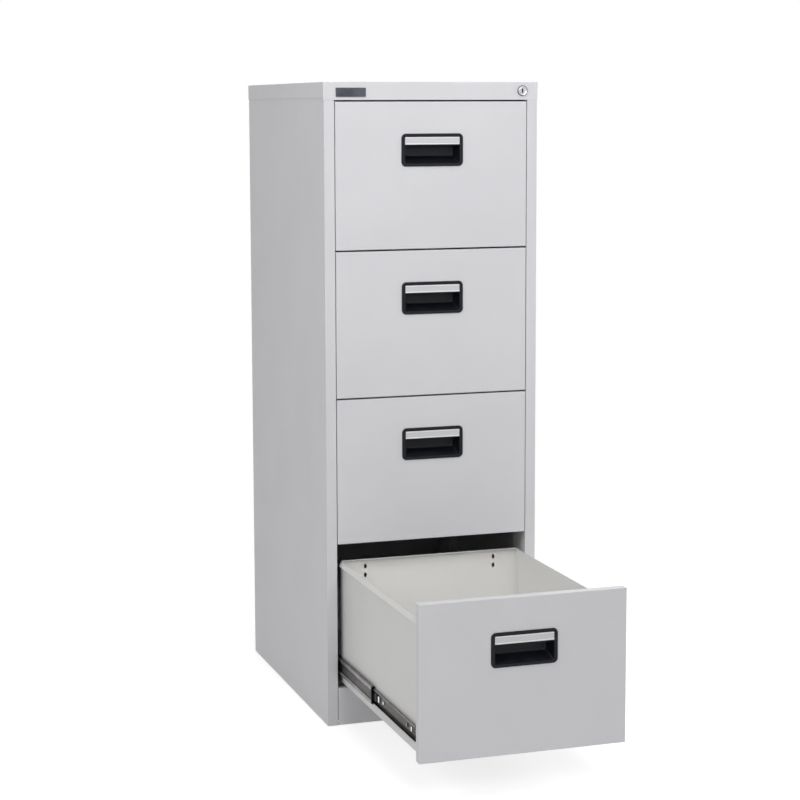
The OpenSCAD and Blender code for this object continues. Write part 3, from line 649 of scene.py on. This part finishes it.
# Places on a slide are in millimetres: u runs in from the opening's edge, y from the member's front end and z
# from its middle. Rolled sections list the corners of their upper half as (u, z, bend radius).
OUTER_CORNERS = ((9.1, 18.9, 0), (9.1, 22.15, 2.0), (0.7, 22.15, 3.0))
MIDDLE_CORNERS = ((11.1, 15.4, 0), (11.1, 17.6, 1.6), (4.1, 17.6, 2.2), (4.1, 10.6, 1.0), (6.2, 8.6, 1.0))
INNER_CORNERS = ((6.0, 13.9, 0), (12.0, 13.9, 2.0))
SLEEVE_CORNERS = ((11.0, 14.9, 0), (11.0, 16.2, 0.8), (4.9, 16.2, 1.2))
LIP_CORNERS = ((10.6, 16.6, 0), (4.3, 16.6, 1.6))
STEEL_T, SLEEVE_T, LIP_T, CAGE_T = 1.2, 0.9, 2.2, 0.5
OUTER_WEB_H, MIDDLE_WEB_H, INNER_WEB_H = 16.0, 9.6, 12.0
CAGE_BEND_R, MEMBER_EDGE_R = 1.0, 0.25
# Slots are (start, end, half height).
OUTER_SLOTS = ((96, 101, 6), (250, 255, 6))
INNER_SLOTS = ((15, 20, 4), (228, 233, 7))
OUTER_SCREW_IN, INNER_SCREW_IN, SCREW_HOLE_R = 24, 60, 2.2
PRESSED_HOLE_Y, PRESSED_HOLE_R = 200, 2.25
WEB_THROUGH = (-1, 14)
# Material numbers on a member: lips lighter as a painted highlight, the web darker as a painted dark
# reflection, the lower lip darkest as painted shade.
LIP, WEB, RACE_SHADE = 0, 1, 2


def slide_x(u):
    """The place across the cabinet that is u millimetres in from the opening's edge."""
    return OPENING_X - u * MM


def rolled_strip(name, corners, thickness, start, end):
    """A strip along Y that follows the corners of its upper half and their image below."""
    upper = [(slide_x(u), z * MM, radius * MM) for u, z, radius in corners]
    lower = [(x, -z, radius) for x, z, radius in reversed(upper)]
    outline = strip_outline(rounded_path(upper + lower), thickness * MM)
    return extrude(name, outline, start * MM, end * MM, "Y")


def across(name, points, u):
    """A solid across a slide between two places u, from an outline of (y, z) points."""
    return extrude(name, [(y * MM, z * MM) for y, z in points], slide_x(u[1]), slide_x(u[0]), "X")


def slide_box(name, u, y, z, bevel, segments=2):
    """A box on a slide from its ranges, with rounded edges."""
    low = (slide_x(u[1]), y[0] * MM, z[0] * MM)
    high = (slide_x(u[0]), y[1] * MM, z[1] * MM)
    return box_mesh(name, low, high, bevel * MM, segments)


def slot_points(y0, y1, half_h, steps=6):
    """The outline of a slot with round ends, upright."""
    middle, radius = (y0 + y1) / 2, (y1 - y0) / 2
    rise = half_h - radius
    top = [(middle + radius * math.cos(a), rise + radius * math.sin(a)) for a in arc(steps, 0, 180)]
    low = [(middle + radius * math.cos(a), radius * math.sin(a) - rise) for a in arc(steps, 180, 360)]
    return top + low


def circle_points(y, radius, steps=16):
    """The outline of a round hole."""
    return [(y + radius * math.cos(a), radius * math.sin(a)) for a in arc(steps, 0, 360)][:-1]


def pierced(member, outlines):
    """A member with holes through its web."""
    return cut(member, [across("hole", points, WEB_THROUGH) for points in outlines])


def tone_member(mesh, web_h, lower_lip=LIP):
    """The material numbers of a member's web, its lips, and its lower lip where that differs: painted dark
    reflection, painted highlight and painted shade.
    """
    for face in mesh.polygons:
        lip = lower_lip if face.center.z < 0 else LIP
        face.material_index = WEB if abs(face.center.z) < web_h * MM else lip
    return mesh


def outer_members(length):
    """The cabinet members of a pair of slides."""
    member = rolled_strip("outer_member", OUTER_CORNERS, STEEL_T, 0, length)
    holes = [circle_points(y, SCREW_HOLE_R) for y in (OUTER_SCREW_IN, length - OUTER_SCREW_IN)]
    holes += [slot_points(*slot) for slot in OUTER_SLOTS]
    return tone_member(mirrored(pierced(member, holes)), OUTER_WEB_H)


def middle_members(length):
    """The middle members of a pair of slides."""
    member = rolled_strip("middle_member", MIDDLE_CORNERS, STEEL_T, 0, length)
    return tone_member(mirrored(member), MIDDLE_WEB_H)


def inner_members(length):
    """The drawer members of a pair of slides."""
    member = rolled_strip("inner_member", INNER_CORNERS, STEEL_T, 0, length)
    holes = [slot_points(*slot) for slot in INNER_SLOTS]
    holes.append(circle_points(PRESSED_HOLE_Y, PRESSED_HOLE_R))
    holes += [circle_points(y, SCREW_HOLE_R) for y in (INNER_SCREW_IN, length - INNER_SCREW_IN)]
    return tone_member(mirrored(pierced(member, holes)), INNER_WEB_H, lower_lip=RACE_SHADE)


def slide_ball(u, y, z, radius):
    """A ball, which has a cage's second material."""
    work = bmesh.new()
    bmesh.ops.create_icosphere(work, subdivisions=2, radius=radius * MM)
    bmesh.ops.translate(work, vec=(slide_x(u), y * MM, z * MM), verts=work.verts)
    for face in work.faces:
        face.smooth = True
        face.material_index = 1
    return finished(work, "ball")


def ball_cages(name, start, count, pitch, u, z, radius, arm_u, arm_low):
    """A pair of cages: above and below each slide's middle, an angled strip with its row of balls."""
    balls = [slide_ball(u, start + pitch * (number + 0.5), z, radius) for number in range(count)]
    path = rounded_path([(slide_x(u + arm_u), z * MM, 0), (slide_x(u - arm_u), z * MM, CAGE_BEND_R * MM),
                         (slide_x(u - arm_u), arm_low * MM, 0)])
    outline = strip_outline(path, CAGE_T * MM)
    strip = extrude("cage_strip", outline, start * MM, (start + pitch * count) * MM, "Y")
    return mirrored(mirrored(join(name, [strip] + balls), UP_DOWN))


def slide_stop():
    """The plastic end caps around the middle members' front ends."""
    sleeve = rolled_strip("stop_sleeve", SLEEVE_CORNERS, SLEEVE_T, start=-2.5, end=12)
    lip = rolled_strip("stop_lip", LIP_CORNERS, LIP_T, start=-3.4, end=-0.4)
    return mirrored(join("slide_stop", [sleeve, lip]))


def slide_buffer():
    """The plastic buffers in the drawer members' channels, with a nose that slopes to its front."""
    front, back, half_h, nose_half_h = 240, 270, 10.5, 8
    slope, chamfer = 2, 1
    lower = [(front, -nose_half_h), (front + slope, -half_h), (back - chamfer, -half_h),
             (back, chamfer - half_h)]
    outline = lower + [(y, -z) for y, z in reversed(lower)]
    body = across("buffer_body", outline, u=(8.6, 11.3))
    ridge = slide_box("buffer_ridge", u=(7.5, 9.2), y=(241, 262), z=(-8, 8), bevel=0.8)
    return mirrored(join("slide_buffer", [body, ridge]))


def race_shade_strip(length):
    """A dark strip on the drawer members' lower races: painted shade in their channels."""
    return mirrored(slide_box("race_shade_strip", u=(11.2, 11.45), y=(3, length - 3), z=(-13.1, -8.2), bevel=0.08))


def slide_tabs():
    """The bright stop tabs and the dimples pressed out of the drawer members' webs."""
    tab = slide_box("stop_tab", u=(8.2, 11.4), y=(228.5, 234.5), z=(-6.5, 6.5), bevel=1.0)
    dimple = slide_box("dimple", u=(9.8, 11.4), y=(204, 209), z=(-3, 3), bevel=0.7, segments=3)
    front = slide_box("front_tab", u=(9.4, 11.4), y=(30, 35), z=(-4.5, 4.5), bevel=0.8)
    return mirrored(join("slide_tabs", [tab, dimple, front]))


def slide_place(node):
    """The front end of a drawer's slide node, at the height of its middle."""
    low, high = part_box(node)
    return Vector((0, low.y, (low.z + high.z) / 2))


def slide_length(node):
    """A slide node's length in millimetres."""
    low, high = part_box(node)
    return (high.y - low.y) / MM


def build_slides():
    """Each drawer's pair of slides, with what sits in them."""
    inner_length = slide_length("drawer_1_inner_slides")
    outer = outer_members(slide_length("drawer_1_outer_slides"))
    middle = middle_members(slide_length("drawer_1_middle_slides"))
    inner = inner_members(inner_length)
    wide = ball_cages("wide_cage", start=300, count=22, pitch=8, u=6.4, z=19.9, radius=1.6,
                      arm_u=2.2, arm_low=12)
    near = ball_cages("near_cage", start=8, count=22, pitch=7, u=8.4, z=15.75, radius=1.15,
                      arm_u=1.9, arm_low=11)
    stop, buffer, race, tabs = slide_stop(), slide_buffer(), race_shade_strip(inner_length), slide_tabs()
    for number in DRAWERS:
        drawer, middles = f"drawer_{number}", f"slide_middles_{number}"
        members = (("outer", outer, "cabinet"), ("middle", middle, middles), ("inner", inner, drawer))
        for kind, mesh, body in members:
            node = f"{drawer}_{kind}_slides"
            # Lips, web and lower lip are lighter and darker copies of one steel: painted highlight, painted
            # dark reflection, painted shade.
            piece = add_piece(f"{drawer}_{kind}_members", moved(mesh, slide_place(node)), body, "slide_steel",
                              [node], [EXTRAS["lip_steel_painted_highlight"], EXTRAS["web_painted_dark_reflection"], EXTRAS["race_painted_shade"]])
            soften(piece, MEMBER_EDGE_R * MM, 2)
        place = slide_place(drawer + "_middle_slides")
        for kind, mesh in (("wide", wide), ("near", near)):
            add_piece(f"{drawer}_{kind}_ball_cages", moved(mesh, place), middles, "slide_steel", (),
                      [EXTRAS["cage_steel"], EXTRAS["ball_steel"]])
        add_piece(drawer + "_slide_stops", moved(stop, place), middles, "handle_plastic", (),
                  [EXTRAS["stop_plastic"]])
        place = slide_place(drawer + "_inner_slides")
        add_piece(drawer + "_slide_buffers", moved(buffer, place), drawer, "handle_plastic", (),
                  [EXTRAS["stop_plastic"]])
        # A dark strip laid on each lower race, painted shade.
        add_piece(drawer + "_race_shade_strips", moved(race, place), drawer, "slide_steel", (),
                  [EXTRAS["race_painted_shade"]])
        add_piece(drawer + "_slide_tabs", moved(tabs, place), drawer, "screw_steel", (),
                  [EXTRAS["bright_zinc"]])


build_slides()


# ---------------------------------------------------------------- cap fittings

# Both sections are in millimetres. The bezel's lists (radius, y) from its axis and the cap's front, over its
# rim, dish, inner edge and sleeve. The nameplate's lists (inset from its outline, height over the cap), in to
# its sunk field.
LOCK_SECTION = ((11.0, -0.1), (11.0, -0.9), (10.8, -1.4), (10.4, -1.75), (9.9, -1.95), (9.3, -2.0),
                (8.7, -1.85), (8.1, -1.45), (7.5, -1.2), (6.9, -1.15), (6.45, -1.3), (6.2, -1.3),
                (6.05, -1.1), (6.05, 22.0), (9.3, 22.0), (9.3, -0.1))
PLATE_SECTION = ((0.0, 0.0), (0.0, 0.75), (0.08, 0.9), (0.25, 1.0), (1.0, 1.0), (1.15, 0.93), (1.3, 0.82))
PLATE_R, PLATE_LEAST_R, PLATE_R_FALL = 1.4, 0.5, 0.6
DISH_R = 9.1 * MM
# A black block over the plug's keyway, painted shade in its slot.
KEYWAY_SHADE_HALF_W, KEYWAY_SHADE_LOW, KEYWAY_SHADE_HIGH = 1.8 * MM, -4.5 * MM, 4.3 * MM
KEYWAY_SHADE_PROUD, KEYWAY_SHADE_SUNK, KEYWAY_SHADE_EDGE_R = 0.12 * MM, 0.6 * MM, 0.35 * MM


def build_lock():
    """The lock's bezel, a rounded rim made dark as a painted dark reflection around a bright dish, and a
    black block over the plug's keyway as painted shade.
    """
    low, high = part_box("lock_housing")
    centre = Vector(((low.x + high.x) / 2, FRONT_Y, (low.z + high.z) / 2))
    bezel = lathe("lock_bezel", [(radius * MM, y * MM) for radius, y in LOCK_SECTION], centre)
    # Faces outside the dish get the dark ring, a painted dark reflection.
    for face in bezel.polygons:
        radius = math.hypot(face.center.x - centre.x, face.center.z - centre.z)
        face.material_index = 0 if radius > DISH_R else 1
    piece = add_piece("lock_bezel", bezel, "cabinet", "lock_chrome", ["lock_housing"],
                      [EXTRAS["lock_ring_painted_reflection"], FINISHES["lock_chrome"]])
    shade_evenly(piece)
    plug_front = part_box("lock_plug")[0].y
    # A black block over the keyway: painted shade where the slot is dark.
    keyway_shade = box_mesh("keyway_shade_block",
                       (centre.x - KEYWAY_SHADE_HALF_W, plug_front - KEYWAY_SHADE_PROUD, centre.z + KEYWAY_SHADE_LOW),
                       (centre.x + KEYWAY_SHADE_HALF_W, plug_front + KEYWAY_SHADE_SUNK, centre.z + KEYWAY_SHADE_HIGH),
                       KEYWAY_SHADE_EDGE_R)
    add_piece("lock_keyway_shade", keyway_shade, "lock_plug", "handle_plastic", (), [EXTRAS["stop_plastic"]])


def build_nameplate():
    """A bare plate with a brighter rim around a dark brushed field."""
    low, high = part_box("nameplate")
    centre = Vector(((low.x + high.x) / 2, high.y, (low.z + high.z) / 2))
    half_w, half_h = (high.x - low.x) / 2, (high.z - low.z) / 2
    rings = []
    for inset, height in PLATE_SECTION:
        corner = max(PLATE_R - PLATE_R_FALL * inset, PLATE_LEAST_R)
        rings.append(rounded_ring(half_w - inset * MM, inset * MM - half_h, half_h - inset * MM, corner * MM,
                                  -height * MM, 5))
    mesh = loft("nameplate_skin", rings)
    field = max(mesh.polygons, key=lambda face: face.area if face.normal.y < 0 else 0)
    for face in mesh.polygons:
        face.material_index = 0 if face.index == field.index else 1
    mesh.transform(Matrix.Translation(centre))
    piece = add_piece("bare_nameplate", mesh, "cabinet", "plate_metal", ["nameplate"],
                      [FINISHES["plate_metal"], EXTRAS["plate_rim"]])
    shade_evenly(piece)


build_lock()
build_nameplate()


# ---------------------------------------------------------------- remaining nodes

KEPT_EDGE_R, FASTENER_EDGE_R = 0.25 * MM, 0.5 * MM
KEPT_NODES = ["base_pan", "left_front_upright", "right_front_upright", "left_rear_upright",
              "right_rear_upright", "lock_bar", "lock_bar_guides", "lock_nut", "lock_cam", "lock_plug"]
KEPT_NODES += [f"drawer_{number}_liner" for number in DRAWERS]
FASTENERS = ["levelling_feet", "slide_screws"] + [f"drawer_{number}_screws" for number in DRAWERS]


def soften_node(node, width, segments):
    """Rounds the sharp edges of a node that is shown as it is."""
    shown = frame["nodes"][node]
    weld = shown.modifiers.new("weld", "WELD")
    weld.merge_threshold = SAME_POINT
    soften(shown, width, segments)


for node in KEPT_NODES:
    soften_node(node, KEPT_EDGE_R, 2)
for node in FASTENERS:
    soften_node(node, FASTENER_EDGE_R, 3)


# ---------------------------------------------------------------- stage, light and camera

FLOOR_HALF = 30.0


def seen_rays(owner):
    """1 for rays that show a thing, straight, mirrored or through glass, and 0 for rays that light."""
    path = put(owner, "ShaderNodeLightPath")
    total = path.outputs["Is Camera Ray"]
    for kind in ("Is Glossy Ray", "Is Transmission Ray"):
        either = put(owner, "ShaderNodeMath", operation="MAXIMUM")
        link(owner, total, either.inputs[0])
        link(owner, path.outputs[kind], either.inputs[1])
        total = either.outputs[0]
    return total


def switched(owner, seen, lighting, showing):
    """A strength that differs between lighting rays and rays that show."""
    level = put(owner, "ShaderNodeMapRange")
    level.inputs["To Min"].default_value = lighting
    level.inputs["To Max"].default_value = showing
    link(owner, seen, level.inputs["Value"])
    return level.outputs["Result"]


def lit_floor(material, seen, albedo, bounce, lift):
    """A matt floor that glows a little, more so where it is seen."""
    bsdf = surface(material)
    bsdf.inputs["Base Color"].default_value = (albedo, albedo, albedo, 1)
    bsdf.inputs["Roughness"].default_value = 0.9
    bsdf.inputs["Specular IOR Level"].default_value = 0.0
    glow = put(material, "ShaderNodeEmission")
    link(material, switched(material, seen, bounce, lift), glow.inputs["Strength"])
    lit = put(material, "ShaderNodeAddShader")
    link(material, bsdf.outputs[0], lit.inputs[0])
    link(material, glow.outputs[0], lit.inputs[1])
    return lit.outputs[0]


def clear_share(material, seen, clear_from, clear_to):
    """How far the floor has turned to white where it is seen, by the distance from the object's middle."""
    reach = put(material, "ShaderNodeVectorMath", operation="LENGTH")
    link(material, position(material), reach.inputs[0])
    far = put(material, "ShaderNodeMapRange", interpolation_type="SMOOTHSTEP")
    far.inputs["From Min"].default_value = clear_from
    far.inputs["From Max"].default_value = clear_to
    link(material, reach.outputs["Value"], far.inputs["Value"])
    share = put(material, "ShaderNodeMath", operation="MULTIPLY")
    link(material, far.outputs["Result"], share.inputs[0])
    link(material, seen, share.inputs[1])
    return share.outputs[0]


def build_stage(albedo, bounce, lift, clear_from, clear_to):
    """A pale floor that keeps the shadow near the object and turns to white further out."""
    corners = [(x * FLOOR_HALF, y * FLOOR_HALF, 0) for x, y in ((-1, -1), (1, -1), (1, 1), (-1, 1))]
    floor = bpy.data.objects.new("floor", make_mesh("floor", corners, [(0, 1, 2, 3)], smooth=False))
    bpy.context.scene.collection.objects.link(floor)
    material = new_material("floor_white")
    seen = seen_rays(material)
    shown = put(material, "ShaderNodeMixShader")
    white = put(material, "ShaderNodeEmission")
    link(material, clear_share(material, seen, clear_from, clear_to), shown.inputs["Fac"])
    link(material, lit_floor(material, seen, albedo, bounce, lift), shown.inputs[1])
    link(material, white.outputs[0], shown.inputs[2])
    link(material, shown.outputs[0], material.node_tree.nodes["Material Output"].inputs["Surface"])
    floor.data.materials.append(material)


def build_world(ambient):
    """White where the camera and reflections look past the object; a plain ambient light elsewhere."""
    world = bpy.data.worlds.new("studio")
    bpy.context.scene.world = world
    world.use_nodes = True
    back = world.node_tree.nodes["Background"]
    back.inputs["Color"].default_value = (1, 1, 1, 1)
    link(world, switched(world, seen_rays(world), ambient, 1.0), back.inputs["Strength"])


def add_lamp(name, place, target, size, watts, glossy=True):
    """A soft lamp. The one that grazes the fronts isn't glossy, so that they don't glare from the side."""
    lamp = bpy.data.lights.new(name, "AREA")
    lamp.shape = "RECTANGLE"
    lamp.size, lamp.size_y = size
    lamp.energy = watts
    holder = bpy.data.objects.new(name, lamp)
    holder.location = place
    holder.visible_glossy = glossy
    holder.rotation_mode = "QUATERNION"
    holder.rotation_quaternion = (Vector(target) - Vector(place)).to_track_quat("-Z", "Y")
    bpy.context.scene.collection.objects.link(holder)


def add_lamps():
    """Soft lamps in front, above and at both sides, and one behind for the views from there."""
    add_lamp("key", place=(0.0, FRONT_Y - 3.2, 2.3), target=(0, FRONT_Y, 0.8),
             size=(2.2, 1.4), watts=34)
    add_lamp("top", place=(0.0, FRONT_Y - 0.9, 2.9), target=(0, FRONT_Y - 0.25, 0.5),
             size=(1.6, 1.2), watts=25)
    add_lamp("left_fill", place=(-2.5, FRONT_Y - 1.2, 2.0), target=(-0.1, FRONT_Y, 0.6),
             size=(1.4, 1.2), watts=25)
    add_lamp("right_fill", place=(2.3, FRONT_Y - 0.45, 1.1), target=(0, FRONT_Y, 0.8),
             size=(0.5, 1.6), watts=20, glossy=False)
    add_lamp("back_fill", place=(0.9, 4.0, 2.0), target=(0, 0.5, 0.7),
             size=(1.8, 1.6), watts=34)


def add_camera():
    """The photograph's view: the place, the turn and the lens that its corners give."""
    place = (-1.34631, FRONT_Y - 3.89011, 1.27553)
    azimuth, elevation, roll = (math.radians(angle) for angle in (18.156, -6.914, -0.163))
    level = math.cos(elevation)
    view = Vector((math.sin(azimuth) * level, math.cos(azimuth) * level, math.sin(elevation)))
    right = Vector((math.cos(azimuth), -math.sin(azimuth), 0))
    up = right.cross(view)
    right, up = (right * math.cos(roll) + up * math.sin(roll),
                 up * math.cos(roll) - right * math.sin(roll))
    camera = bpy.data.cameras.new("photo_view")
    camera.sensor_width = 36.0
    camera.lens = 90.196
    camera.shift_y = -0.06
    holder = bpy.data.objects.new("photo_view", camera)
    turn = Matrix((right, up, -view)).transposed().to_4x4()
    holder.matrix_world = Matrix.Translation(place) @ turn
    bpy.context.scene.collection.objects.link(holder)
    bpy.context.scene.camera = holder


build_stage(albedo=0.55, bounce=0.18, lift=0.66, clear_from=0.95, clear_to=1.7)
build_world(ambient=0.33)
add_lamps()
add_camera()
bpy.context.scene.view_settings.view_transform = "Standard"
